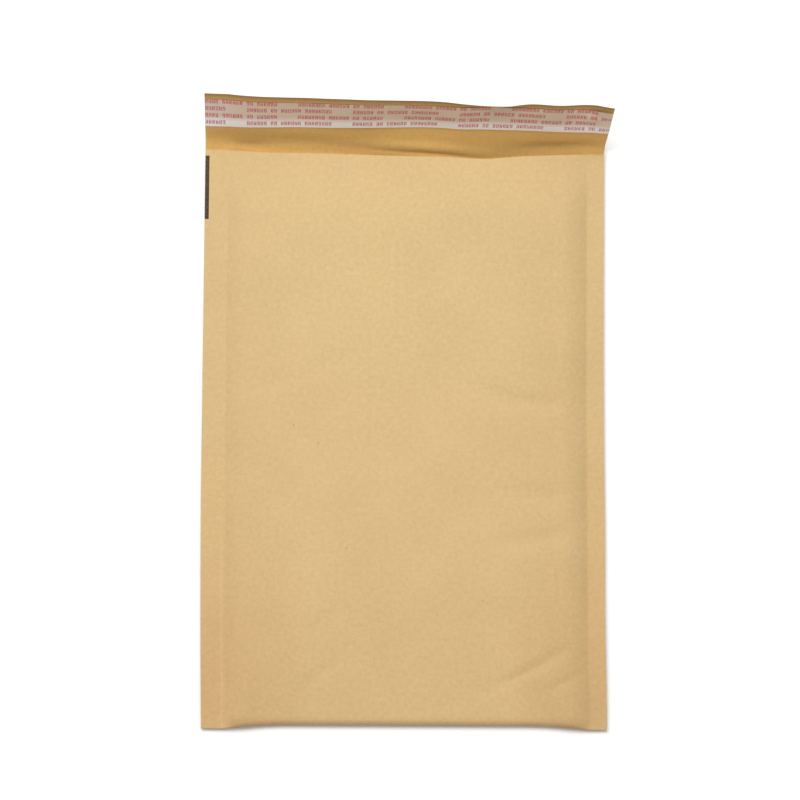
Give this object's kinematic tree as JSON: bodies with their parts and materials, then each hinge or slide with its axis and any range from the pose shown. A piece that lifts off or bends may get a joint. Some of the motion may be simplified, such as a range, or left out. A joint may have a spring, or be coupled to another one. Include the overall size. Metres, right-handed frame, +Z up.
{
  "type": "padded envelope",
  "caption": "Kraft paper mailing envelope with a bubble film lining, sealed side seams and an open flap with a peel-off adhesive strip.",
  "frame": {"origin": "middle of the envelope's footprint, flap included, on the surface that its back lies on", "axes": "+X across the envelope towards its right side seam, +Y along it from the bottom fold towards the flap, +Z up out of the front panel"},
  "size_m": [0.2424, 0.3712, 0.0451],
  "materials": {
    "kraft": "matt natural kraft paper, outside and inside",
    "film": "clear polyethylene bubble film",
    "hot_melt": "pale tacky hot-melt adhesive",
    "release": "thin silicone-coated film, satin"
  },
  "bodies": {
    "root": {"paper_envelope": "kraft", "bubble_lining": "film", "adhesive_strip": "hot_melt", "release_liner": "release"}
  },
  "joints": []
}
